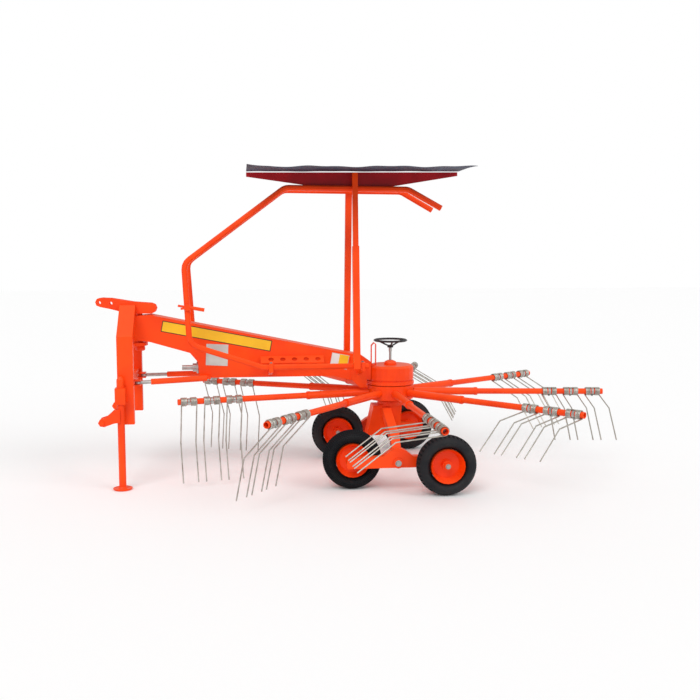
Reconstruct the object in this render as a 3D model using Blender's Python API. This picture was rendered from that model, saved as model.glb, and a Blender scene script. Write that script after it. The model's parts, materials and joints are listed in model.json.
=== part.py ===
"""Single-rotor hay rake, folded and parked on its wheels and stand. Metres, +Z up, hitch towards -X."""

import math

import bmesh
import bpy
from mathutils import Matrix, Vector

# Overall layout. Lengths along the machine are measured from the rotor's axis.
ROTOR_X = 0.27  # puts the middle of the whole box at the origin
GAP = 0.0003  # between pieces that touch
RUNNING_GAP = 0.0008  # round a pin that turns in its bore

ROTOR_TIP = 1.5555  # radius of the arm ends
ARM_Z = 0.593
ARM_COUNT = 9
FIRST_ARM_DEG = 152.65

TYRE_RADIUS = 0.2025
PIVOT_X, PIVOT_Z = -0.045, 0.200
INNER_WHEEL_X, INNER_WHEEL_Y = -0.340, 0.485
OUTER_WHEEL_X, OUTER_WHEEL_Y = 0.264, 0.731

BEAM_HALF = 0.080
SWIVEL_X = -1.795
HINGE_Y, HINGE_Z = 0.275, 0.816
GUARD_TOP_Y, GUARD_TOP_Z = 0.150, 2.050

for thing in list(bpy.data.objects):
    bpy.data.objects.remove(thing, do_unlink=True)
model = bpy.data.collections.new("rotary_hay_rake")
bpy.context.scene.collection.children.link(model)

# slot: colour, roughness, metallic
FINISHES = {
    "orange_paint": ((0.90, 0.09, 0.01), 0.35, 0.0),
    "red_paint": ((0.42, 0.004, 0.010), 0.40, 0.0),
    "tyre_rubber": ((0.025, 0.028, 0.034), 0.80, 0.0),
    "zinc_steel": ((0.55, 0.52, 0.46), 0.35, 0.9),
    "black_plastic": ((0.012, 0.013, 0.018), 0.35, 0.0),
    "curtain_fabric": ((0.060, 0.080, 0.140), 0.60, 0.0),
    "blank_plate": ((0.85, 0.55, 0.04), 0.40, 0.0),
}


def up_to_xyz(a, b, height, axis):
    return {"X": (height, a, b), "Y": (a, height, b), "Z": (a, b, height)}[axis]


def closed_mesh(bm):
    bmesh.ops.remove_doubles(bm, verts=bm.verts, dist=1e-6)
    bmesh.ops.recalc_face_normals(bm, faces=bm.faces)
    mesh = bpy.data.meshes.new("shape")
    bm.to_mesh(mesh)
    bm.free()
    return mesh


def prism(outline, axis, low, high):
    """A flat outline in the two other axes, from low to high along this one."""
    bm = bmesh.new()
    rings = [[bm.verts.new(up_to_xyz(a, b, h, axis)) for a, b in outline] for h in (low, high)]
    for ring in rings:
        bm.faces.new(ring)
    for i in range(len(outline)):
        bm.faces.new((rings[0][i], rings[0][i - 1], rings[1][i - 1], rings[1][i]))
    return closed_mesh(bm)


def block(low, high):
    (x0, y0, z0), (x1, y1, z1) = low, high
    return prism([(x0, y0), (x1, y0), (x1, y1), (x0, y1)], "Z", z0, z1)


def turned(profile, centre, axis, steps, ring=False):
    """A profile of (radius, distance along axis), turned round the axis. A ring's profile closes on itself."""
    turn = Vector((0, 0, 1)).rotation_difference(Vector(axis).normalized()).to_matrix()
    bm = bmesh.new()
    rows = []
    for radius, along in profile:
        angles = [2 * math.pi * i / steps for i in range(steps if radius else 1)]
        points = [Vector((radius * math.cos(t), radius * math.sin(t), along)) for t in angles]
        rows.append([bm.verts.new(Vector(centre) + turn @ p) for p in points])
    pairs = list(zip(rows, rows[1:]))
    if ring:
        pairs.append((rows[-1], rows[0]))
    for a, b in pairs:
        for i in range(steps):
            j = (i + 1) % steps
            corners = [a[i % len(a)], a[j % len(a)], b[j % len(b)], b[i % len(b)]]
            bm.faces.new(list(dict.fromkeys(corners)))
    if not ring:
        for row in (rows[0], rows[-1]):
            if len(row) > 1:
                bm.faces.new(row)
    return closed_mesh(bm)


def rod(start, end, radius, steps=12):
    start, end = Vector(start), Vector(end)
    length = (end - start).length
    return turned([(radius, 0), (radius, length)], start, end - start, steps)


def round_section(radius, sides):
    return [
        (radius * math.cos(2 * math.pi * (i + 0.5) / sides), radius * math.sin(2 * math.pi * (i + 0.5) / sides))
        for i in range(sides)
    ]


def box_section(across, along_normal):
    a, b = along_normal / 2, across / 2
    return [(-a, -b), (a, -b), (a, b), (-a, b)]


def bent(path, radius, steps=3):
    """The path with each corner rounded to this bend radius."""
    path = [Vector(p) for p in path]
    points = [path[0]]
    for before, corner, after in zip(path, path[1:], path[2:]):
        u, v = (before - corner).normalized(), (after - corner).normalized()
        half = u.angle(v) / 2
        trim = radius / math.tan(half)
        centre = corner + (u + v).normalized() * radius / math.sin(half)
        start = corner + u * trim - centre
        turn = math.pi - 2 * half
        axis = u.cross(v)
        points += [centre + Matrix.Rotation(-turn * i / steps, 3, axis) @ start for i in range(steps + 1)]
    return points + [path[-1]]


def sweep(path, section, normal):
    """A section of (along normal, across) points carried along a flat path, mitred at its corners."""
    path, normal = [Vector(p) for p in path], Vector(normal).normalized()
    bm = bmesh.new()
    rows = []
    for i, point in enumerate(path):
        before = (point - path[i - 1]).normalized() if i else None
        after = (path[i + 1] - point).normalized() if i + 1 < len(path) else None
        ahead = ((before or after) + (after or before)).normalized()
        across = normal.cross(ahead).normalized() / ahead.dot(after or before)
        rows.append([bm.verts.new(point + normal * a + across * b) for a, b in section])
    for a, b in zip(rows, rows[1:]):
        for i in range(len(section)):
            bm.faces.new((a[i], a[i - 1], b[i - 1], b[i]))
    bm.faces.new(rows[0])
    bm.faces.new(rows[-1])
    return closed_mesh(bm)


def combined(base, others, operation):
    """The base mesh with every other mesh added to it or cut from it."""
    objects = []
    for mesh in [base, *others]:
        helper = bpy.data.objects.new("helper", mesh)
        bpy.context.scene.collection.objects.link(helper)
        objects.append(helper)
    for helper in objects[1:]:
        boolean = objects[0].modifiers.new("boolean", "BOOLEAN")
        boolean.solver = "EXACT"
        boolean.operation = operation
        boolean.object = helper
    bpy.context.view_layer.update()
    graph = bpy.context.evaluated_depsgraph_get()
    result = bpy.data.meshes.new_from_object(objects[0].evaluated_get(graph))
    for helper in objects:
        bpy.data.objects.remove(helper, do_unlink=True)
    return result


def fused(*meshes):
    return combined(meshes[0], meshes[1:], "UNION")


def cut(base, *meshes):
    return combined(base, meshes, "DIFFERENCE")


machine = bpy.data.objects.new("machine", None)
machine.location = (ROTOR_X, 0, 0)
model.objects.link(machine)
PIVOTS = {"machine": Vector((0, 0, 0))}


def joint(name, pivot, parent="machine"):
    """An empty on a moving body's joint axis, which its nodes are placed from."""
    empty = bpy.data.objects.new(name, None)
    PIVOTS[name] = Vector(pivot)
    empty.parent = bpy.data.objects[parent]
    empty.location = PIVOTS[name] - PIVOTS[parent]
    model.objects.link(empty)


def node(name, mesh, slot, body="machine", smooth=False):
    mesh.transform(Matrix.Translation(-PIVOTS[body]))
    mesh.name = name
    mesh.polygons.foreach_set("use_smooth", [smooth] * len(mesh.polygons))
    piece = bpy.data.objects.new(name, mesh)
    piece.parent = bpy.data.objects[body]
    model.objects.link(piece)
    colour, roughness, metallic = FINISHES[slot]
    material = bpy.data.materials.new(f"{name}_{slot}")
    material.use_nodes = True
    shader = material.node_tree.nodes["Principled BSDF"]
    shader.inputs["Base Color"].default_value = (*colour, 1)
    shader.inputs["Roughness"].default_value = roughness
    shader.inputs["Metallic"].default_value = metallic
    mesh.materials.clear()
    mesh.materials.append(material)


SIDES = (("left", -1), ("right", 1))

# Gear housing over the rotor, with its height adjuster.
HOUSING_TOP, HOUSING_BOTTOM, HOUSING_RADIUS = 0.790, 0.652, 0.170
TURRET_TOP = 0.822
node(
    "gear_housing",
    turned(
        [(0.020, TURRET_TOP), (0.040, TURRET_TOP - 0.009), (0.046, HOUSING_TOP + 0.012), (0.046, HOUSING_TOP), (0.152, HOUSING_TOP), (HOUSING_RADIUS, HOUSING_TOP - 0.014), (HOUSING_RADIUS, 0.689),
         (0.160, 0.687), (0.160, 0.677), (HOUSING_RADIUS + 0.004, 0.675), (HOUSING_RADIUS + 0.004, HOUSING_BOTTOM),
         (0, HOUSING_BOTTOM)],
        (0, 0, 0), (0, 0, 1), 24,
    ),
    "orange_paint",
)
SPINDLE_TOP = 0.915
node(
    "adjuster_spindle",
    turned([(0.009, TURRET_TOP + GAP), (0.009, 0.885), (0.012, 0.886), (0.012, SPINDLE_TOP)], (0, 0, 0), (0, 0, 1), 12),
    "zinc_steel",
)
HAND_WHEEL_Z, HAND_WHEEL_RADIUS = 0.968, 0.125
rim = turned(
    [(HAND_WHEEL_RADIUS - 0.009 + 0.009 * math.cos(t), HAND_WHEEL_Z + 0.008 * math.sin(t))
     for t in (math.pi * k / 2 for k in range(4))],
    (0, 0, 0), (0, 0, 1), 20, ring=True,
)
hub = turned([(0.022, SPINDLE_TOP + GAP), (0.022, SPINDLE_TOP + 0.018)], (0, 0, 0), (0, 0, 1), 12)
spokes = []
for k in range(3):
    spoke = rod((0.012, 0, SPINDLE_TOP + 0.010), (HAND_WHEEL_RADIUS - 0.010, 0, HAND_WHEEL_Z - 0.001), 0.006, 6)
    spoke.transform(Matrix.Rotation(2 * math.pi * k / 3 + 0.5, 4, "Z"))
    spokes.append(spoke)
node("adjuster_hand_wheel", fused(hub, *spokes, rim), "black_plastic", smooth=True)

# Main beam: a tapered box, its rear end shaped round the gear housing.
BEAM_OUTLINE = [
    (-1.832, 1.163), (-1.715, 1.172), (-0.343, 0.890), (-0.229, 0.872), (-0.150, 0.815),
    (-0.150, 0.690), (-0.300, 0.690), (-0.420, 0.722), (-1.3775, 0.722), (-1.384, 0.765),
    (-1.390, 0.836), (-1.444, 0.901), (-1.720, 0.982), (-1.832, 0.996),
]
beam = prism(BEAM_OUTLINE, "Y", -BEAM_HALF, BEAM_HALF)
housing_room = turned(
    [(HOUSING_RADIUS + 0.004 + GAP, 0.60), (HOUSING_RADIUS + 0.004 + GAP, HOUSING_TOP + GAP)], (0, 0, 0), (0, 0, 1), 24
)
SWIVEL_PIN_RADIUS = 0.020
swivel_bore = rod((SWIVEL_X, 0, 0.90), (SWIVEL_X, 0, 1.25), SWIVEL_PIN_RADIUS + RUNNING_GAP, 16)
node("main_beam", cut(beam, housing_room, swivel_bore), "orange_paint")

# Cheeks that carry the gear housing on both sides of the beam.
CHEEK_OUTLINE = [
    (-0.300, 0.700), (-0.262, 0.662), (-0.235, 0.634), (-0.180, 0.634), (-0.180, 0.646), (-0.186, 0.660),
    (-0.186, 0.800), (-0.229, 0.845), (-0.300, 0.862),
]
for side, sign in SIDES:
    near, far = sorted((sign * (BEAM_HALF + GAP), sign * (BEAM_HALF + 0.010)))
    node(f"housing_cheek_{side}", prism(CHEEK_OUTLINE, "Y", near, far), "orange_paint")

# Hooked stay on top of the housing.
STAY_X, STAY_TOP = -0.124, 0.951
stay = sweep(
    [(STAY_X - 0.017, 0, HOUSING_TOP + 0.002), (STAY_X - 0.017, 0, STAY_TOP - 0.020),
     (STAY_X + 0.001, 0, STAY_TOP), (STAY_X + 0.015, 0, STAY_TOP - 0.012), (STAY_X + 0.015, 0, HOUSING_TOP + 0.002)],
    box_section(0.006, 0.030), (0, 1, 0),
)
foot = block((STAY_X - 0.020, -0.030, HOUSING_TOP + GAP), (STAY_X + 0.0174, 0.030, HOUSING_TOP + 0.006))
node("hooked_stay", fused(foot, stay), "orange_paint")

# Rack for spare tines, and blank plates, on the beam's left side.
RACK = dict(front=-0.948, rear=-0.4985, inner_y=-BEAM_HALF - GAP, outer_y=-0.142, inner_z=0.872, outer_z=0.831)
RACK_HOLES, RACK_FIRST, RACK_PITCH = 5, -0.875, 0.0835
sheet = 0.005
rack = prism(
    [(RACK["inner_y"], RACK["inner_z"]), (RACK["outer_y"], RACK["outer_z"]), (RACK["outer_y"], RACK["outer_z"] - sheet),
     (RACK["inner_y"], RACK["inner_z"] - sheet)],
    "X", RACK["front"], RACK["rear"],
)
middle_y, middle_z = (RACK["inner_y"] + RACK["outer_y"]) / 2, (RACK["inner_z"] + RACK["outer_z"]) / 2
slope = Vector((0, RACK["outer_z"] - RACK["inner_z"], RACK["inner_y"] - RACK["outer_y"])).normalized()
holes = []
for k in range(RACK_HOLES):
    centre = Vector((RACK_FIRST + RACK_PITCH * k, middle_y, middle_z))
    holes.append(rod(centre - slope * 0.02, centre + slope * 0.02, 0.0205, 12))
node("tine_rack", cut(rack, *holes), "orange_paint")

# name, corners of a sloping plate on the beam's side as (x, z)
PLATES = (
    ("name_plate", [(-1.655, 1.137), (-0.840, 0.977), (-0.853, 0.900), (-1.668, 1.057)]),
    ("data_plate", [(-1.330, 0.965), (-1.165, 0.957), (-1.180, 0.805), (-1.345, 0.812)]),
    ("notice_plate", [(-0.440, 0.893), (-0.310, 0.867), (-0.325, 0.765), (-0.455, 0.790)]),
)
for name, corners in PLATES:
    node(name, prism(corners, "Y", -BEAM_HALF - 0.0023, -BEAM_HALF - GAP), "blank_plate")

# Drive shaft stub at the front of the deep part of the beam.
node(
    "drive_input",
    turned([(0.042, 0), (0.042, 0.012), (0.030, 0.014), (0.030, 0.040), (0.0175, 0.041), (0.0175, 0.115)],
           (-1.3900, 0, 0.788), (-1, 0, 0), 16),
    "zinc_steel",
)

# Centre column below the rotor: a spindle the rotor turns on, and a box that carries both axle legs.
COLUMN_HALF = 0.075
SPINDLE_RADIUS = 0.050
HUB_BOTTOM = 0.530
column = prism([(-0.1345, 0.497), (-0.179, 0.280), (0.060, 0.280), (0.075, 0.497)], "Y", -COLUMN_HALF, COLUMN_HALF)
spindle = turned([(SPINDLE_RADIUS, 0.45), (SPINDLE_RADIUS, HOUSING_BOTTOM - GAP)], (0, 0, 0), (0, 0, 1), 24)
collar = turned([(0.095, 0.4935), (0.095, HUB_BOTTOM - 0.006)], (0, 0, 0), (0, 0, 1), 24)
node("centre_column", fused(column, collar, spindle), "orange_paint")

# Axle legs, each with the pin its wheel rocker turns on.
LEG = 0.062
PIN_RADIUS = 0.022
ROCKER_INNER, ROCKER_OUTER = 0.578, 0.638
for side, sign in SIDES:
    path = [(PIVOT_X, sign * (COLUMN_HALF + GAP), 0.455), (PIVOT_X, sign * 0.125, 0.455), (PIVOT_X, sign * 0.490, 0.335),
            (PIVOT_X, sign * 0.540, 0.262), (PIVOT_X, sign * 0.540, 0.158)]
    leg = sweep(path, box_section(LEG, LEG), (1, 0, 0))
    pin = turned(
        [(PIN_RADIUS, 0), (PIN_RADIUS, ROCKER_OUTER + 0.003 - 0.53), (0.034, ROCKER_OUTER + 0.0035 - 0.53),
         (0.034, ROCKER_OUTER + 0.012 - 0.53)],
        (PIVOT_X, sign * 0.53, PIVOT_Z), (0, sign, 0), 16,
    )
    node(f"axle_leg_{side}", fused(leg, pin), "orange_paint")

# Wheel rockers with their stub axles, and the four wheels.
AXLE_RADIUS = 0.0150
ROCKER_OUTLINE = [
    (-0.385, 0.168), (-0.395, 0.200), (-0.385, 0.238), (-0.150, 0.244), (-0.100, 0.282), (-0.070, 0.296), (-0.020, 0.296),
    (0.010, 0.282), (0.060, 0.244), (0.309, 0.238), (0.319, 0.200), (0.309, 0.168),
]
WHEEL_PROFILE = [
    (0.1153, -0.062), (0.145, -0.075), (0.184, -0.072), (TYRE_RADIUS, -0.044), (TYRE_RADIUS, 0.044), (0.184, 0.072),
    (0.145, 0.075), (0.1153, 0.062),
]
RIM_PROFILE = [
    (0.0157, -0.040), (0.033, -0.040), (0.033, -0.012), (0.088, -0.012), (0.115, -0.068), (0.115, 0.068),
    (0.090, -0.004), (0.033, -0.004), (0.033, 0.040), (0.0157, 0.040),
]
for side, sign in SIDES:
    rocker = f"rocker_{side}"
    joint(rocker, (PIVOT_X, sign * ROCKER_INNER, PIVOT_Z))
    near, far = sorted((sign * ROCKER_INNER, sign * ROCKER_OUTER))
    beam = prism(ROCKER_OUTLINE, "Y", near, far)
    bore = rod((PIVOT_X, sign * 0.5, PIVOT_Z), (PIVOT_X, sign * 0.7, PIVOT_Z), PIN_RADIUS + RUNNING_GAP, 16)
    wheels = (
        ("inner", INNER_WHEEL_X, INNER_WHEEL_Y, -1, ROCKER_INNER),
        ("outer", OUTER_WHEEL_X, OUTER_WHEEL_Y, 1, ROCKER_OUTER),
    )
    axles = []
    for place, x, y, outward, face in wheels:
        start = abs(y - face) + 0.02
        axles.append(turned(
            [(0.026, 0), (0.026, start - 0.045), (AXLE_RADIUS, start - 0.0445), (AXLE_RADIUS, start + 0.047),
             (0.024, start + 0.0475), (0.024, start + 0.058)],
            (x, sign * (face - outward * 0.02), TYRE_RADIUS), (0, sign * outward, 0), 16,
        ))
    node(f"wheel_rocker_{side}", fused(cut(beam, bore), *axles), "orange_paint", rocker)
    for place, x, y, outward, face in wheels:
        wheel = f"wheel_{place}_{side}"
        joint(wheel, (x, sign * y, TYRE_RADIUS), rocker)
        turn = (0, sign * outward, 0)
        centre = (x, sign * y, TYRE_RADIUS)
        node(f"tyre_{place}_{side}", turned(WHEEL_PROFILE, centre, turn, 24, ring=True), "tyre_rubber", wheel, True)
        node(f"rim_{place}_{side}", turned(RIM_PROFILE, centre, turn, 24, ring=True), "orange_paint", wheel, True)

# Rotor: a hub on the spindle, and nine arms with three double tines each.
joint("rotor", (0, 0, ARM_Z))
HUB_RADIUS = 0.165
HUB_FACETS = 27
rotor_hub = turned(
    [(SPINDLE_RADIUS + RUNNING_GAP, HOUSING_BOTTOM - 0.006), (HUB_RADIUS, HOUSING_BOTTOM - 0.006),
     (HUB_RADIUS + 0.006, 0.640), (HUB_RADIUS + 0.006, 0.546), (HUB_RADIUS - 0.010, 0.538),
     (SPINDLE_RADIUS + RUNNING_GAP, 0.538)],
    (0, 0, 0), (0, 0, 1), HUB_FACETS, ring=True,
)
rotor_hub.transform(Matrix.Rotation(math.radians(FIRST_ARM_DEG + 180 / HUB_FACETS), 4, "Z"))
node("rotor_hub", rotor_hub, "orange_paint", "rotor", True)
ARM_START = (HUB_RADIUS + 0.006) * math.cos(math.pi / HUB_FACETS) + GAP
ARM_RADIUS, SOCKET_RADIUS, COIL_RADIUS = 0.021, 0.027, 0.034
SOCKET_END = 0.640
PAIRS = (0.073, 0.232, 0.388)  # each double tine's middle, in from the arm's end
COIL_OFFSET, COIL_HALF = 0.041, 0.020
UPPER_TINE, LOWER_TINE, TINE_BEND_DEG, TINE_RADIUS = 0.290, 0.280, 31, 0.0048
# angle of each arm's upper tines from hanging straight down, set by the cam
TINE_ANGLES = (24, 13, 44, 84, 86, 80, 68, 60, 52)
for k, tine_deg in enumerate(TINE_ANGLES):
    turn = math.radians(FIRST_ARM_DEG + 360 / ARM_COUNT * k)
    out = Vector((math.cos(turn), math.sin(turn), 0))
    trail = Vector((math.sin(turn), -math.cos(turn), 0))
    down = Vector((0, 0, -1))
    profile = [(SOCKET_RADIUS, ARM_START), (SOCKET_RADIUS, SOCKET_END), (ARM_RADIUS, SOCKET_END + 0.001)]
    for middle in reversed(PAIRS):
        for offset in (-COIL_OFFSET, COIL_OFFSET):
            a = ROTOR_TIP - middle + offset - COIL_HALF
            b = a + 2 * COIL_HALF
            profile += [(ARM_RADIUS, a), (COIL_RADIUS, a + 0.001), (COIL_RADIUS, b - 0.001), (ARM_RADIUS, b)]
    bore = ARM_RADIUS - 0.004
    profile += [(ARM_RADIUS, ROTOR_TIP), (bore, ROTOR_TIP), (bore, ROTOR_TIP - 0.030), (0, ROTOR_TIP - 0.030)]
    centre = Vector((0, 0, ARM_Z))
    arm = turned(profile, centre, out, 8)
    pieces = []
    upper, lower = math.radians(tine_deg), math.radians(tine_deg - TINE_BEND_DEG)
    along_upper = down * math.cos(upper) + trail * math.sin(upper)
    along_lower = down * math.cos(lower) + trail * math.sin(lower)
    under = (down * math.sin(upper) - trail * math.cos(upper)) * (COIL_RADIUS - TINE_RADIUS)
    for middle in PAIRS:
        for offset in (-COIL_OFFSET - COIL_HALF + TINE_RADIUS, COIL_OFFSET + COIL_HALF - TINE_RADIUS):
            start = centre + out * (ROTOR_TIP - middle + offset) + under
            knee = start + along_upper * UPPER_TINE
            pieces.append(sweep([start, knee, knee + along_lower * LOWER_TINE], round_section(TINE_RADIUS, 4), out))
    node(f"tine_arm_{k + 1}", fused(arm, *pieces), "orange_paint", "rotor")

# Guards: one bent tube each side, folded up, hinged on its bottom run.
TUBE_RADIUS = 0.021
TUBE_SIDES = 8
TUBE_FLAT = TUBE_RADIUS * math.cos(math.pi / TUBE_SIDES)
GUARD_BEND = 0.085
lean = Vector((0, HINGE_Y - GUARD_TOP_Y, GUARD_TOP_Z - HINGE_Z)).normalized()
guard_up = lean / lean.z


def on_guard(x, height, sign, stand_off=0.0):
    """A point of a folded guard, at this height above its hinge, moved outward by stand_off."""
    outward = Vector((0, -lean.z, lean.y))
    point = Vector((x, -HINGE_Y, HINGE_Z)) + guard_up * height + outward * stand_off
    return Vector((point.x, -sign * point.y, point.z))


# x and height above the hinge of the tube's corners, from its rear end on the hinge line
GUARD_PATH = (
    (-0.200, 0.0), (-0.942, 0.0), (-1.4353, 0.1613), (-1.4674, 0.7162), (-0.7702, 1.2376), (0.0962, 1.2313), (0.3321, 1.1002),
)
POST_X, POST_SIZE = -0.285, 0.046
# place, x, how far out from the middle the clamp starts, its top beside the beam
CLAMPS = (("front", -0.880, BEAM_HALF + GAP, 0.808), ("rear", -0.240, BEAM_HALF + 0.010 + GAP, 0.808))
for side, sign in SIDES:
    guard = f"guard_{side}"
    joint(guard, (0, sign * HINGE_Y, HINGE_Z))
    normal = (on_guard(0, 0, sign, 1) - on_guard(0, 0, sign)).normalized()
    path = bent([on_guard(x, h, sign) for x, h in GUARD_PATH], GUARD_BEND)
    tube = sweep(path, round_section(TUBE_RADIUS, TUBE_SIDES), normal)
    node(f"guard_tube_{side}", tube, "orange_paint", guard, True)
    for place, x, start, top in CLAMPS:
        outline = [
            (start, 0.740), (start, top), (HINGE_Y - 0.060, top), (HINGE_Y - 0.030, HINGE_Z + 0.028),
            (HINGE_Y + 0.030, HINGE_Z + 0.028), (HINGE_Y + 0.030, HINGE_Z - 0.034), (HINGE_Y - 0.040, HINGE_Z - 0.034),
            (start + 0.030, 0.740),
        ]
        clamp = prism([(sign * y, z) for y, z in outline], "X", x - 0.014, x + 0.014)
        hinge = (sign * HINGE_Y, HINGE_Z)
        room = rod((x - 0.05, *hinge), (x + 0.05, *hinge), TUBE_RADIUS + RUNNING_GAP, 20)
        node(f"guard_hinge_{place}_{side}", cut(clamp, room), "orange_paint")

# Posts that stiffen the guards. The left one is the sleeve of the swath board's arm.
POST_CENTRE = TUBE_FLAT + POST_SIZE / 2 + GAP  # out from the guard tube's plane
POST_FOOT, POST_HEAD = -0.020, 1.245
SLEEVE_HEAD = 0.830
ARM_SIZE, ARM_ROOM = 0.037, 0.0385
ARM_FOOT, ARM_HEAD = 0.240, 1.335


def post(foot, head, size, sign):
    ends = [on_guard(POST_X, h, sign, POST_CENTRE) for h in (foot, head)]
    return sweep(ends, box_section(size, size), (1, 0, 0))


node("guard_post_right", post(POST_FOOT, POST_HEAD, POST_SIZE, 1), "orange_paint", "guard_right")
sleeve = cut(post(POST_FOOT, SLEEVE_HEAD, POST_SIZE, -1), post(ARM_FOOT - 0.020, SLEEVE_HEAD + 0.05, ARM_ROOM, -1))
node("guard_post_left", sleeve, "orange_paint", "guard_left")

# Tie latch on the left guard's front run.
latch = on_guard(-1.4435, 0.416, -1, TUBE_FLAT + 0.0115)
bar = rod(latch + Vector((-0.066, 0, 0.012)), latch + Vector((0.050, 0, -0.008)), 0.008, 8)
grip = rod(latch + Vector((0.030, 0, -0.0045)), latch + Vector((0.112, 0, -0.019)), 0.0125, 10)
prong = rod(latch + Vector((-0.048, 0, -0.010)), latch + Vector((0.006, 0, -0.004)), 0.007, 8)
lug = block(latch + Vector((-0.016, -0.009, -0.022)), latch + Vector((0.016, 0.0085, 0.020)))
node("guard_latch", fused(lug, bar, grip, prong), "orange_paint", "guard_left")

# Swath board: an arm that slides out of the left post, a plate and a curtain.
BOARD_Y = -0.122
BOARD_TILT = 0.0094
joint("board_slide", on_guard(POST_X, ARM_FOOT, -1, POST_CENTRE), "guard_left")
arm = post(ARM_FOOT, ARM_HEAD, ARM_SIZE, -1)
head = on_guard(POST_X, ARM_HEAD, -1, POST_CENTRE)
bridge = block((POST_X - 0.016, head.y - 0.004, 2.078), (POST_X + 0.016, BOARD_Y - 0.0033, 2.136))
node("board_arm", fused(arm, bridge), "orange_paint", "board_slide")
BOARD_OUTLINE = [
    (-1.036, 2.158), (0.455, 2.172), (0.455, 2.146), (-0.090, 2.056), (-0.200, 2.040), (-0.380, 2.040), (-0.700, 2.083),
    (-1.036, 2.128),
]
node("swath_board", prism(BOARD_OUTLINE, "Y", BOARD_Y - 0.003, BOARD_Y), "red_paint", "board_slide")
curtain_top = [(-0.108, 2.1762), (-0.300, 2.180), (-0.480, 2.175), (-0.660, 2.164)]
curtain = [(y, z - 0.008) for y, z in reversed(curtain_top)]
curtain = prism(curtain_top + curtain, "X", -1.015, 0.487)
curtain.transform(Matrix.Rotation(-BOARD_TILT, 4, "Y"))
node("swath_curtain", curtain, "curtain_fabric", "board_slide")

# Headstock: two legs joined at the top, on a swivel pin through the beam's front end.
joint("headstock", (SWIVEL_X, 0, 0.96))
LEG_FRONT, LEG_REAR, LEG_Y, LEG_THICK = -1.9225, -1.815, 0.280, 0.050
LEG_BEND_Z, LEG_TOP_Y, LEG_TOP_Z = 1.030, 0.075, 1.215
LINK_HALF, LINK_THICK = 0.030, 0.014
legs = []
for side, sign in SIDES:
    path = [((LEG_FRONT + LEG_REAR) / 2, sign * y, z)
            for y, z in ((LEG_Y, 0.440), (LEG_Y, LEG_BEND_Z), (LEG_TOP_Y, LEG_TOP_Z), (0.020, LEG_TOP_Z + 0.006))]
    legs.append(sweep(path, box_section(LEG_THICK, LEG_REAR - LEG_FRONT), (1, 0, 0)))
BRACKET_TOP = 0.975
tongue = prism([(-1.900, -0.27), (-1.826, -0.27), (-1.815, -0.10), (-1.752, -0.045), (-1.742, 0), (-1.752, 0.045),
                (-1.815, 0.10), (-1.826, 0.27), (-1.900, 0.27)], "Z", BRACKET_TOP - 0.022, BRACKET_TOP)
cross_tube = block((-1.900, -0.27, 0.690), (-1.835, 0.27, 0.755))
STRUT_Y, STRUT_EYE_Z = 0.200, 0.7135
lugs = []
for side, sign in SIDES:
    for z in (STRUT_EYE_Z - 0.020, STRUT_EYE_Z + 0.012):
        lugs.append(block((-1.850, sign * STRUT_Y - 0.026, z), (-1.780, sign * STRUT_Y + 0.026, z + 0.008)))
link_room = block((-2.10, -LINK_HALF - LINK_THICK - GAP, 1.10), (-1.60, LINK_HALF + LINK_THICK + GAP, 1.35))
pin_room = rod((SWIVEL_X, 0, 0.90), (SWIVEL_X, 0, 1.05), SWIVEL_PIN_RADIUS + GAP, 16)
lower = fused(cut(tongue, pin_room), legs[0], legs[1], cross_tube, *lugs)
node("headstock_frame", cut(lower, link_room), "orange_paint", "headstock")
node(
    "swivel_pin",
    turned([(0.026, 0.915), (0.034, 0.922), (0.034, 0.934), (0.030, BRACKET_TOP - 0.022 - GAP),
            (SWIVEL_PIN_RADIUS, BRACKET_TOP - 0.022 - GAP), (SWIVEL_PIN_RADIUS, 1.196)],
           (SWIVEL_X, 0, 0), (0, 0, 1), 16),
    "orange_paint", "headstock",
)
LINK_OUTLINE = [
    (-2.093, 1.262), (-2.080, 1.286), (-2.050, 1.291), (-1.985, 1.288), (-1.830, 1.262), (-1.705, 1.252), (-1.682, 1.240),
    (-1.673, 1.216), (-1.682, 1.192), (-1.705, 1.180), (-1.870, 1.180), (-1.985, 1.212), (-2.060, 1.228), (-2.084, 1.238),
]
LINK_HOLES = ((-2.066, 1.257), (-1.987, 1.253))
link_room = [rod((x, -0.06, z), (x, 0.06, z), 0.0125, 12) for x, z in LINK_HOLES]
plates = [prism(LINK_OUTLINE, "Y", *sorted((s * LINK_HALF, s * (LINK_HALF + LINK_THICK)))) for s in (-1, 1)]
web = block((-1.880, -LINK_HALF - 0.004, 1.198), (-1.700, LINK_HALF + 0.004, 1.214))
node("top_link_plates", cut(fused(web, *plates), *link_room), "orange_paint", "headstock")

# Lower hitch points: two ears and a pin on the foot of each leg.
EAR_OUTLINE = [
    (-1.900, 0.556), (-1.935, 0.556), (-1.990, 0.506), (-2.033, 0.492), (-2.046, 0.468), (-2.033, 0.446), (-2.005, 0.441),
    (-1.940, 0.464), (-1.900, 0.468),
]
EAR_PIN = (-2.018, 0.468)
for side, sign in SIDES:
    inner = LEG_Y + LEG_THICK / 2 + GAP
    ears = [prism(EAR_OUTLINE, "Y", *sorted((sign * a, sign * (a + 0.012)))) for a in (inner, inner + 0.070)]
    tie = block((-1.925, min(sign * (inner + 0.004), sign * (inner + 0.078)), 0.480),
                (-1.905, max(sign * (inner + 0.004), sign * (inner + 0.078)), 0.545))
    if sign < 0:  # a plate in front, clear of the stand's sleeve
        tie = block((-1.946, sign * (inner + 0.078), 0.478), (-1.934, sign * (inner + 0.004), 0.525))
    pin = rod((EAR_PIN[0], sign * (inner + 0.004), EAR_PIN[1]), (EAR_PIN[0], sign * (inner + 0.094), EAR_PIN[1]), 0.014, 12)
    node(f"lower_hitch_{side}", fused(tie, *ears, pin), "orange_paint", "headstock")

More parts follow.
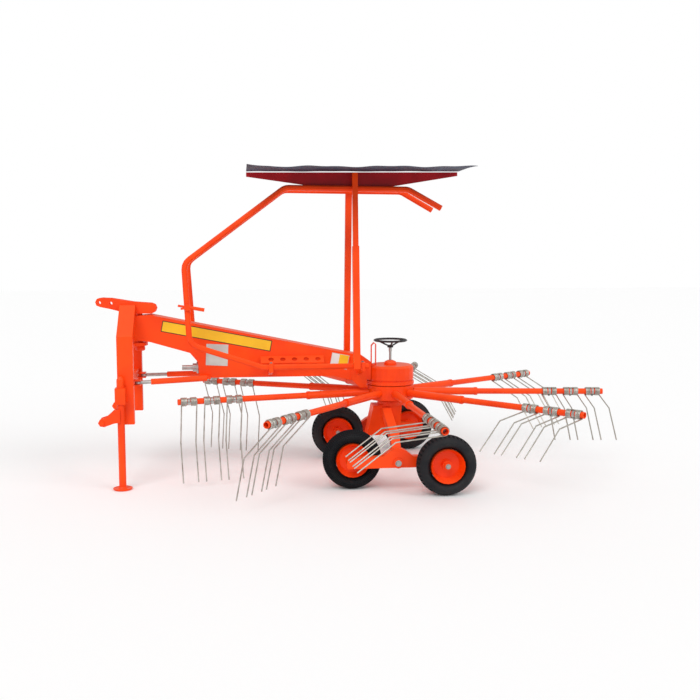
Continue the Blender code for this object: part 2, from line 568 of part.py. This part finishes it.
# Parking stand: a tube with a round foot, in a sleeve on the left leg.
STAND_X, STAND_Y = -1.898, -0.348
STAND_RADIUS, STAND_TOP = 0.0245, 0.776
SLEEVE_BOTTOM, SLEEVE_TOP = 0.590, 0.700
sleeve = block((STAND_X - 0.034, STAND_Y - 0.034, SLEEVE_BOTTOM), (STAND_X + 0.034, -LEG_Y - LEG_THICK / 2 - GAP, SLEEVE_TOP))
sleeve_room = rod((STAND_X, STAND_Y, 0.5), (STAND_X, STAND_Y, 0.8), STAND_RADIUS + RUNNING_GAP, 16)
node("stand_sleeve", cut(sleeve, sleeve_room), "orange_paint", "headstock")
joint("stand", (STAND_X, STAND_Y, 0.0), "headstock")
node(
    "parking_stand",
    turned([(0.056, 0), (0.065, 0.006), (0.065, 0.012), (0.060, 0.013), (0.050, 0.010), (0.034, 0.010),
            (STAND_RADIUS, 0.022), (STAND_RADIUS, STAND_TOP - 0.020), (0.014, STAND_TOP)],
           (STAND_X, STAND_Y, 0), (0, 0, 1), 16),
    "orange_paint", "stand", True,
)

# Centring struts: a tube on the beam and a rod to each side of the headstock.
STRUT_TUBE, STRUT_ROD = 0.0205, 0.0130
# side, sign, tube's front x, tube's rear end (x, y, z), bracket's x span
STRUTS = (
    ("left", -1, -1.708, (-1.325, 0.150, 0.7300), (-1.350, -1.300)),
    ("right", 1, -1.622, (-1.360, 0.118, 0.7300), (-1.376, -1.330)),
)
for side, sign, front_x, rear, bracket in STRUTS:
    eye = Vector((SWIVEL_X, sign * STRUT_Y, STRUT_EYE_Z))
    rear = Vector((rear[0], sign * rear[1], rear[2]))
    along = (rear - eye).normalized()
    front = eye + along * ((front_x - eye.x) / along.x)
    length = (rear - front).length
    tube = turned(
        [(0, length - 0.06), (STRUT_ROD + RUNNING_GAP, length - 0.06), (STRUT_ROD + RUNNING_GAP, 0), (STRUT_TUBE, 0),
         (STRUT_TUBE, length), (0, length)],
        front, along, 12,
    )
    y0, y1 = sorted((sign * (BEAM_HALF + GAP), rear.y))
    foot = block((bracket[0], y0, 0.7235), (bracket[1], y1, 0.7365))
    node(f"strut_tube_{side}", fused(tube, foot), "orange_paint")
    joint(f"strut_{side}", eye)
    rod_end = eye + along * min((front - eye).length + 0.115, (rear - eye).length - 0.125)
    shank = rod(eye + along * 0.020, rod_end, STRUT_ROD, 12)
    eye_disc = turned([(0.022, -0.0065), (0.022, 0.0065)], eye + Vector((0, 0, -0.0)), (0, 0, 1), 12)
    node(f"strut_rod_{side}", fused(shank, eye_disc), "zinc_steel", f"strut_{side}")
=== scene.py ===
"""A mounted rotary hay rake, parked: guards folded up, the swath curtain laid over them, on four tyres and a
stand. Fabricated from welded box section and tube, sprayed orange, with sprung steel tines on nine arms."""

import json
import math

import bpy
from mathutils import Matrix, Vector


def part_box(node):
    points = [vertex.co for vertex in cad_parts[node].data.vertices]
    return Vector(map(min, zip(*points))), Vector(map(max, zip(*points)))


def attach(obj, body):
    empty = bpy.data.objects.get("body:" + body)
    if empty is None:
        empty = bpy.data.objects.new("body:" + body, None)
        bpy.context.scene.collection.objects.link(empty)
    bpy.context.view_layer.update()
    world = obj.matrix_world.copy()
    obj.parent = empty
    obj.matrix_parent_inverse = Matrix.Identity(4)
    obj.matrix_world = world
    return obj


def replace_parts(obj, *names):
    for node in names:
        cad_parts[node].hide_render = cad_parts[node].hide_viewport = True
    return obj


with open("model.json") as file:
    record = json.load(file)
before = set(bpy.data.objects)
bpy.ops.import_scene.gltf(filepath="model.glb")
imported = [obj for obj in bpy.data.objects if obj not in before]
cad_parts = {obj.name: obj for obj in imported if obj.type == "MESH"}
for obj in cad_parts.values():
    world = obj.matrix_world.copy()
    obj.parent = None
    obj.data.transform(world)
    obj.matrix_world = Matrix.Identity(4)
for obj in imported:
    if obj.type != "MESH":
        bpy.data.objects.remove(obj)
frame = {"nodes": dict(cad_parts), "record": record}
bpy.ops.object.select_all(action="DESELECT")
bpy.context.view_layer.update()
nodes = frame["nodes"]


# Paintwork and bare metal. Welded steel is shot blasted and sprayed; faces that look up take a lighter
# colour, a painted highlight standing in for light from above.
def finish(name, colour, worn, top, roughness, metallic=0.0, patch=5.0, grain=120.0, bump=0.08):
    """A worn finish: patches between two colours, a lighter third colour on faces that look up as a painted
    highlight, and a fine grain.
    """
    material = bpy.data.materials.new(name)
    material.use_nodes = True
    tree = material.node_tree
    new, link = tree.nodes.new, tree.links.new
    shader = tree.nodes["Principled BSDF"]
    shader.inputs["Metallic"].default_value = metallic
    shader.inputs["Specular IOR Level"].default_value = 0.25
    place = new("ShaderNodeTexCoord")
    patches = new("ShaderNodeTexNoise")
    patches.inputs["Scale"].default_value = patch
    patches.inputs["Detail"].default_value = 8
    link(place.outputs["Object"], patches.inputs["Vector"])
    tones = new("ShaderNodeValToRGB")
    tones.color_ramp.elements[0].position = 0.35
    tones.color_ramp.elements[0].color = (*worn, 1)
    tones.color_ramp.elements[1].position = 0.60
    tones.color_ramp.elements[1].color = (*colour, 1)
    link(patches.outputs["Fac"], tones.inputs["Fac"])
    facing = new("ShaderNodeNewGeometry")
    split = new("ShaderNodeSeparateXYZ")
    link(facing.outputs["Normal"], split.inputs["Vector"])
    upward = new("ShaderNodeMapRange")
    upward.inputs["From Min"].default_value = 0.35
    upward.inputs["To Max"].default_value = 0.7
    link(split.outputs["Z"], upward.inputs["Value"])
    # Painted highlight: faces that look up blend to the lighter third colour, light from above painted into
    # the colour.
    painted_top_light = new("ShaderNodeMix")
    painted_top_light.data_type = "RGBA"
    painted_top_light.inputs["B"].default_value = (*top, 1)
    link(upward.outputs["Result"], painted_top_light.inputs["Factor"])
    link(tones.outputs["Color"], painted_top_light.inputs["A"])
    link(painted_top_light.outputs["Result"], shader.inputs["Base Color"])
    fine = new("ShaderNodeTexNoise")
    fine.inputs["Scale"].default_value = grain
    fine.inputs["Detail"].default_value = 4
    link(place.outputs["Object"], fine.inputs["Vector"])
    gloss = new("ShaderNodeMapRange")
    gloss.inputs["To Min"].default_value = roughness - 0.08
    gloss.inputs["To Max"].default_value = roughness + 0.14
    link(patches.outputs["Fac"], gloss.inputs["Value"])
    link(gloss.outputs["Result"], shader.inputs["Roughness"])
    relief = new("ShaderNodeBump")
    relief.inputs["Strength"].default_value = bump
    relief.inputs["Distance"].default_value = 0.002
    link(fine.outputs["Fac"], relief.inputs["Height"])
    link(relief.outputs["Normal"], shader.inputs["Normal"])
    return material


# The third colour of each finish is a lighter tint for up-facing faces, a painted highlight.
orange = finish("orange_paint", (0.95, 0.066, 0.001), (0.86, 0.048, 0.001), (0.95, 0.105, 0.022), 0.36)
board_red = finish("red_paint", (0.45, 0.005, 0.012), (0.33, 0.003, 0.008), (0.5, 0.05, 0.05), 0.38)
zinc = finish("zinc_steel", (0.52, 0.52, 0.50), (0.34, 0.33, 0.31), (0.6, 0.6, 0.58), 0.38, 0.85, 14.0)
black = finish("black_plastic", (0.016, 0.017, 0.020), (0.028, 0.028, 0.030), (0.06, 0.06, 0.065), 0.42)
plate = finish("blank_plate", (0.62, 0.62, 0.58), (0.45, 0.45, 0.42), (0.6, 0.6, 0.6), 0.36, 0.3)
by_slot = {"orange_paint": orange, "red_paint": board_red, "zinc_steel": zinc, "black_plastic": black,
           "blank_plate": plate}
for part in frame["record"]["subparts"]:
    if part["material_slot"] in by_slot:
        nodes[part["node"]].material_slots[0].material = by_slot[part["material_slot"]]


def named(name, material, body, smooth=30):
    """Puts the active piece's place into its mesh, and gives it a name, a finish and a body."""
    piece = bpy.context.object
    piece.name = piece.data.name = name
    bpy.ops.object.transform_apply(location=True, rotation=True, scale=True)
    if smooth:
        bpy.ops.object.shade_smooth_by_angle(angle=math.radians(smooth))
    if not piece.data.materials:
        piece.data.materials.append(material)
    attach(piece, body)
    piece.select_set(False)
    return piece


# Bolts: zinc plated hexagon heads on washers, at the axle pivots, the wheels and the guard hinges.
WASHER, BOLT_CHAMFER = 0.003, 0.0008


def bolts(name, body, places, size):
    """Bolt heads of that radius at (point, direction) pairs, as one piece."""
    bpy.ops.object.select_all(action="DESELECT")
    heads = []
    for point, direction in places:
        direction = Vector(direction)
        washer = (20, size * 1.35, WASHER, WASHER / 2)
        head = (6, size, size * 0.7, size * 0.35 + WASHER)
        for sides, radius, thick, lift in (washer, head):
            bpy.ops.mesh.primitive_cylinder_add(
                vertices=sides, radius=radius, depth=thick, location=Vector(point) + direction * lift,
                rotation=direction.to_track_quat("Z", "Y").to_euler(),
            )
            bpy.ops.object.mode_set(mode="EDIT")
            bpy.ops.mesh.bevel(offset=BOLT_CHAMFER, segments=1)
            bpy.ops.object.mode_set(mode="OBJECT")
            heads.append(bpy.context.object)
    for head in heads:
        head.select_set(True)
    bpy.ops.object.join()
    return named(name, zinc, body)


axis = (Vector(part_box("gear_housing")[0]) + Vector(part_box("gear_housing")[1])) / 2
PIVOT_X, PIVOT_Z = 0.225, 0.200
HINGE_Y, CLAMP_TOP, CLAMP_HALF = 0.275, 0.844, 0.014
for side, sign in (("left", -1), ("right", 1)):
    pin_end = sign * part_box("axle_leg_right")[1][1]
    bolts(f"pivot_bolt_{side}", "main_frame", [((PIVOT_X, pin_end, PIVOT_Z), (0, sign, 0))], 0.016)
    clamps = [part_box(f"guard_hinge_{end}_{side}")[0][0] + CLAMP_HALF for end in ("front", "rear")]
    bolts(f"hinge_bolts_{side}", "main_frame",
          [((x, sign * HINGE_Y, CLAMP_TOP), (0, 0, 1)) for x in clamps], 0.007)


# Wheels: pneumatic tyres, moulded in black rubber with a lugged tread, on pressed and sprayed rims.
rubber = finish("tyre_rubber", (0.008, 0.009, 0.012), (0.016, 0.016, 0.017), (0.020, 0.020, 0.023), 0.62,
                0.0, 9.0, 260.0, 0.25)
ROUND_STEPS, SECTION_STEPS = 84, 24
TREAD_BAND, LUG_MARGIN, LUG_SINK = 0.016, 0.0012, -0.0045
for place in ("inner", "outer"):
    for side, sign in (("left", -1), ("right", 1)):
        low, high = (Vector(corner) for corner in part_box(f"tyre_{place}_{side}"))
        centre = (low + high) / 2
        outer = (high.x - low.x) / 2
        rim_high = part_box(f"rim_{place}_{side}")[1]
        bead = rim_high[0] - centre.x
        wall = (outer - bead) / 2
        bpy.ops.mesh.primitive_torus_add(
            location=centre, rotation=(math.pi / 2, 0, 0), major_segments=ROUND_STEPS,
            minor_segments=SECTION_STEPS, major_radius=bead + wall, minor_radius=wall,
        )
        tyre = bpy.context.object
        tyre.scale = (1, 1, (high.y - low.y) / 2 / wall)
        bpy.ops.object.transform_apply(location=False, rotation=False, scale=True)
        for face in tyre.data.polygons:
            reach = math.hypot(face.center.x, face.center.y)
            step = round((math.atan2(face.center.y, face.center.x) / math.tau + 1) * ROUND_STEPS + 0.5)
            row = 1 if face.center.z > 0 else 0
            face.select = reach > outer - TREAD_BAND and (step + row) % 2 == 0
        bpy.ops.object.mode_set(mode="EDIT")
        bpy.ops.mesh.select_mode(type="FACE")
        bpy.ops.mesh.inset(thickness=LUG_MARGIN, depth=LUG_SINK, use_individual=True)
        bpy.ops.mesh.select_all(action="DESELECT")
        bpy.ops.object.mode_set(mode="OBJECT")
        tyre = named(f"tyre_cover_{place}_{side}", rubber, f"wheel_{place}_{side}", 40)
        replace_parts(tyre, f"tyre_{place}_{side}")
        rocker_low, rocker_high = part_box(f"wheel_rocker_{side}")
        facing = sign if place == "outer" else -sign
        axle_end = rocker_high[1] if facing > 0 else rocker_low[1]
        bolts(f"axle_nut_{place}_{side}", f"rocker_{side}",
              [((centre.x, axle_end, centre.z), (0, facing, 0))], 0.013)


# Tine arms: a tube pushed into each socket of the hub, carrying three double tines coiled from spring wire.
ARM_HEIGHT, ARM_START, SOCKET_END, ARM_TIP = 0.593, 0.172, 0.640, 1.5555
FIRST_ARM_DEG, ARM_PITCH_DEG = 152.65, 40
TUBE_RADIUS, TUBE_WALL, BORE_DEPTH = 0.021, 0.004, 0.08
SOCKET_RADIUS, COLLAR_RADIUS, COLLAR_ENDS = 0.027, 0.0292, (0.024, 0.004)  # ends: back from the socket's
PAIRS = (0.073, 0.232, 0.388)  # each double tine's middle, in from the arm's tip
COIL_OUTER, COIL_INNER = 0.0520, 0.014  # each way from that middle
WIRE, WIND_RADIUS, TURNS, TURN_STEPS = 0.0045, 0.0268, 4.5, 14
UPPER_TINE, LOWER_TINE, BEND_DEG, BEND_START = 0.290, 0.280, 31, 0.012
STRAP_RADIUS, STRAP_HALF = 0.0238, 0.009
STRAP_BOLT = ((16, 0.013, 0.024, 0.027), (6, 0.0085, 0.026, 0.035))  # sides, radius, start, end
TINE_DEGS = (24, 13, 44, 84, 86, 80, 68, 60, 52)  # upper tines from hanging straight, as the cam sets them
spring = finish("spring_steel", (0.50, 0.48, 0.44), (0.33, 0.30, 0.26), (0.62, 0.58, 0.50), 0.36, 0.80, 20.0)


def tube_section(radius, start, end, bore=0):
    """A tube along +X, open at its far end where bore is given."""
    bpy.ops.mesh.primitive_cylinder_add(
        vertices=32, radius=radius, depth=end - start, rotation=(0, math.pi / 2, 0),
        location=((start + end) / 2, 0, 0),
    )
    tube = bpy.context.object
    bpy.ops.object.transform_apply(location=True, rotation=True, scale=True)
    if bore:
        for face in tube.data.polygons:
            face.select = face.normal.x > 0.9
        bpy.ops.object.mode_set(mode="EDIT")
        bpy.ops.mesh.select_mode(type="FACE")
        bpy.ops.mesh.inset(thickness=radius - bore)
        bpy.ops.mesh.extrude_region_move(TRANSFORM_OT_translate={"value": (-BORE_DEPTH, 0, 0)})
        bpy.ops.object.mode_set(mode="OBJECT")
    return tube


def joined(pieces):
    """Those pieces as one, which is left active."""
    bpy.ops.object.select_all(action="DESELECT")
    for piece in pieces:
        piece.select_set(True)
    bpy.context.view_layer.objects.active = pieces[0]
    bpy.ops.object.join()
    return bpy.context.object


for k, tine_deg in enumerate(TINE_DEGS):
    turn = math.radians(FIRST_ARM_DEG + ARM_PITCH_DEG * k)
    to_place = Matrix.Translation((axis.x, 0, ARM_HEIGHT)) @ Matrix.Rotation(turn, 4, "Z")
    collar_from, collar_to = (SOCKET_END - back for back in COLLAR_ENDS)
    joined([
        tube_section(TUBE_RADIUS, ARM_START, ARM_TIP, TUBE_RADIUS - TUBE_WALL),
        tube_section(SOCKET_RADIUS, ARM_START, SOCKET_END),
        tube_section(COLLAR_RADIUS, collar_from, collar_to),
    ]).data.transform(to_place)
    arm = named(f"arm_tube_{k + 1}", orange, "rotor")
    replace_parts(arm, f"tine_arm_{k + 1}")
    upper, lower = math.radians(tine_deg), math.radians(tine_deg - BEND_DEG)
    along, beyond = (Vector((0, -math.sin(a), -math.cos(a))) for a in (upper, lower))
    under = Vector((0, math.cos(upper), -math.sin(upper)))
    tines, clamps = [], []
    for middle in PAIRS:
        foot = ARM_TIP - middle
        leg = under * WIND_RADIUS
        half = [(COIL_OUTER, leg + along * UPPER_TINE + beyond * LOWER_TINE),
                (COIL_OUTER, leg + along * UPPER_TINE),
                (COIL_OUTER, leg + along * (UPPER_TINE - BEND_START))]
        last = int(TURNS * TURN_STEPS)
        for step in range(last + 1):
            angle = math.tau * step / TURN_STEPS
            reach = COIL_OUTER + (COIL_INNER - COIL_OUTER) * step / last
            half.append((reach, (under * math.cos(angle) - along * math.sin(angle)) * WIND_RADIUS))
        path = [Vector((foot - reach, 0, 0)) + offset for reach, offset in half]
        path += [Vector((foot + reach, 0, 0)) + offset for reach, offset in reversed(half)]
        curve = bpy.data.curves.new("double_tine", "CURVE")
        curve.dimensions = "3D"
        curve.bevel_depth = WIRE
        curve.bevel_resolution = 1
        curve.use_fill_caps = True
        wire = curve.splines.new("POLY")
        wire.points.add(len(path) - 1)
        for point, co in zip(wire.points, path):
            point.co = (*co, 1)
        double_tine = bpy.data.objects.new("double_tine", curve)
        bpy.context.scene.collection.objects.link(double_tine)
        bpy.ops.object.select_all(action="DESELECT")
        double_tine.select_set(True)
        bpy.context.view_layer.objects.active = double_tine
        bpy.ops.object.convert(target="MESH")
        tines.append(bpy.context.object)
        clamps.append(tube_section(STRAP_RADIUS, foot - STRAP_HALF, foot + STRAP_HALF))
        for sides, radius, start, end in STRAP_BOLT:
            bpy.ops.mesh.primitive_cylinder_add(
                vertices=sides, radius=radius, depth=end - start,
                location=Vector((foot, 0, 0)) + under * (start + end) / 2,
                rotation=under.to_track_quat("Z", "Y").to_euler(),
            )
            clamps.append(bpy.context.object)
            bpy.ops.object.transform_apply(location=True, rotation=True, scale=True)
    joined(tines).data.transform(to_place)
    named(f"tines_{k + 1}", spring, "rotor", 60)
    joined(clamps).data.transform(to_place)
    named(f"tine_clamps_{k + 1}", zinc, "rotor")


# Plates on the beam's side: blank aluminium, the long one sprayed yellow with a black edge.
yellow = finish("yellow_plate", (0.90, 0.52, 0.02), (0.80, 0.44, 0.02), (0.9, 0.6, 0.1), 0.35)
label = finish("label_plate", (0.80, 0.79, 0.76), (0.70, 0.69, 0.66), (0.8, 0.8, 0.8), 0.38)
BEAM_SLOPE, PLATE_RELIEF = math.atan2(-0.160, 0.815), 0.0004
PLATES = (  # node, height, edge, share of the length, share left of the second colour, slope, colours
    ("name_plate", 0.078, 0.005, 0.94, 0, BEAM_SLOPE, (yellow, black, yellow)),
    ("notice_plate", 0.104, 0.003, 1, 0.45, BEAM_SLOPE, (label, plate, yellow)),
    ("data_plate", 0.152, 0.002, 1, 0, math.radians(-3), (plate, plate, yellow)),
)
for node, height, edge, trim, left_part, slope, colours in PLATES:
    low, high = (Vector(corner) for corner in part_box(node))
    along_beam = high.x - low.x - height * abs(math.sin(BEAM_SLOPE))
    length = along_beam / math.cos(BEAM_SLOPE) * trim
    bpy.ops.mesh.primitive_cube_add(size=1, location=(low + high) / 2, rotation=(0, -slope, 0),
                                    scale=(length, high.y - low.y, height))
    badge = bpy.context.object
    bpy.ops.object.transform_apply(location=False, rotation=False, scale=True)
    for colour in colours:
        badge.data.materials.append(colour)
    for face in badge.data.polygons:
        face.select = face.normal.y < -0.9
    bpy.ops.object.mode_set(mode="EDIT")
    bpy.ops.mesh.select_mode(type="FACE")
    bpy.ops.mesh.inset(thickness=edge, depth=PLATE_RELIEF)
    if left_part:
        bpy.ops.mesh.bisect(plane_co=badge.matrix_world @ Vector(((left_part - 0.5) * length, 0, 0)),
                            plane_no=badge.matrix_world.to_3x3() @ Vector((1, 0, 0)))
    bpy.ops.object.mode_set(mode="OBJECT")
    for face in badge.data.polygons:
        within = abs(face.center.z) < height / 2 - edge and abs(face.center.x) < length / 2 - edge
        inner = face.normal.y < -0.9 and within
        right = left_part and face.center.x > (left_part - 0.5) * length
        face.material_index = 1 if not inner else 2 if right else 0
    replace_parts(named(f"{node}_sprayed", colours[0], "main_frame", 0), node)


# Swath curtain: one rectangle of coated slate-blue fabric, clipped to the board's top and laid flat.
# Its lighter third colour on the up-facing top is a painted sheen.
fabric = finish("curtain_fabric", (0.050, 0.062, 0.105), (0.030, 0.026, 0.045), (0.09, 0.10, 0.15), 0.58,
                0.0, 4.0, 500.0, 0.3)
low, high = (Vector(corner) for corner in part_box("swath_curtain"))
width, depth = high.x - low.x, high.y - low.y
FRONT_HEIGHT, BOARD_RISE, CLOTH_THICKNESS = 2.1642, 0.0094, 0.003
bpy.ops.mesh.primitive_grid_add(x_subdivisions=110, y_subdivisions=44, size=1, location=(0, 0, 0))
curtain = bpy.context.object
for vertex in curtain.data.vertices:
    u, v = vertex.co.x + 0.5, 0.5 - vertex.co.y  # along the board from the front, and out from its clips
    ripple = 0.0035 * math.sin(19 * u + 2.4 * v) + 0.0022 * math.sin(43 * u - 3 * v)
    curl = 0.012 * max(0, v - 0.85) / 0.15 * max(0, 1 - u / 0.12)
    bow = 0.004 - 0.013 * max(0, v - 0.3) ** 2 / 0.49
    vertex.co = (low.x + width * u, high.y - depth * v,
                 FRONT_HEIGHT + BOARD_RISE * width * u + bow + ripple * (0.25 + 0.75 * v) + curl)
bpy.ops.object.modifier_add(type="SOLIDIFY")
bpy.context.object.modifiers["Solidify"].thickness = CLOTH_THICKNESS
bpy.ops.object.modifier_apply(modifier="Solidify")
curtain = named("curtain_cloth", fabric, "board_slide", 60)
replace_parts(curtain, "swath_curtain")


# The floor, soft level light, and the camera at standing height on the machine's left.
bpy.ops.mesh.primitive_plane_add(size=60, location=(0, 0, 0))
floor = bpy.context.object
floor.name = "floor"
pale = bpy.data.materials.new("pale_floor")
pale.use_nodes = True
pale.node_tree.nodes["Principled BSDF"].inputs["Base Color"].default_value = (0.99, 0.99, 0.99, 1)
pale.node_tree.nodes["Principled BSDF"].inputs["Roughness"].default_value = 1.0
floor.data.materials.append(pale)
for name, place, strength in (("key_sun", (-3, -6, 6), 1.3), ("fill_sun", (5, -4, 4), 0.8)):
    lamp = bpy.data.objects.new(name, bpy.data.lights.new(name, "SUN"))
    lamp.data.energy = strength
    lamp.data.angle = math.radians(35)
    lamp.rotation_euler = (-Vector(place)).to_track_quat("-Z", "Y").to_euler()
    bpy.context.scene.collection.objects.link(lamp)
world = bpy.data.worlds.new("studio")
bpy.context.scene.world = world
world.use_nodes = True
tree = world.node_tree
seen = tree.nodes["Background"]
seen.inputs["Color"].default_value = (1, 1, 1, 1)
lit = tree.nodes.new("ShaderNodeBackground")
lit.inputs["Color"].default_value = (1, 1, 1, 1)
lit.inputs["Strength"].default_value = 0.60
path = tree.nodes.new("ShaderNodeLightPath")
choose = tree.nodes.new("ShaderNodeMixShader")
tree.links.new(path.outputs["Is Camera Ray"], choose.inputs["Fac"])
tree.links.new(lit.outputs["Background"], choose.inputs[1])
tree.links.new(seen.outputs["Background"], choose.inputs[2])
tree.links.new(choose.outputs["Shader"], tree.nodes["World Output"].inputs["Surface"])
camera = bpy.data.objects.new("camera", bpy.data.cameras.new("camera"))
camera.location = (-0.8121, -6.712, 1.6427)
camera.rotation_euler = (math.radians(90 - 6.28), 0, math.radians(-6.67))
camera.data.lens = 47.98
bpy.context.scene.collection.objects.link(camera)
bpy.context.scene.camera = camera
bpy.context.scene.view_settings.view_transform = "Standard"
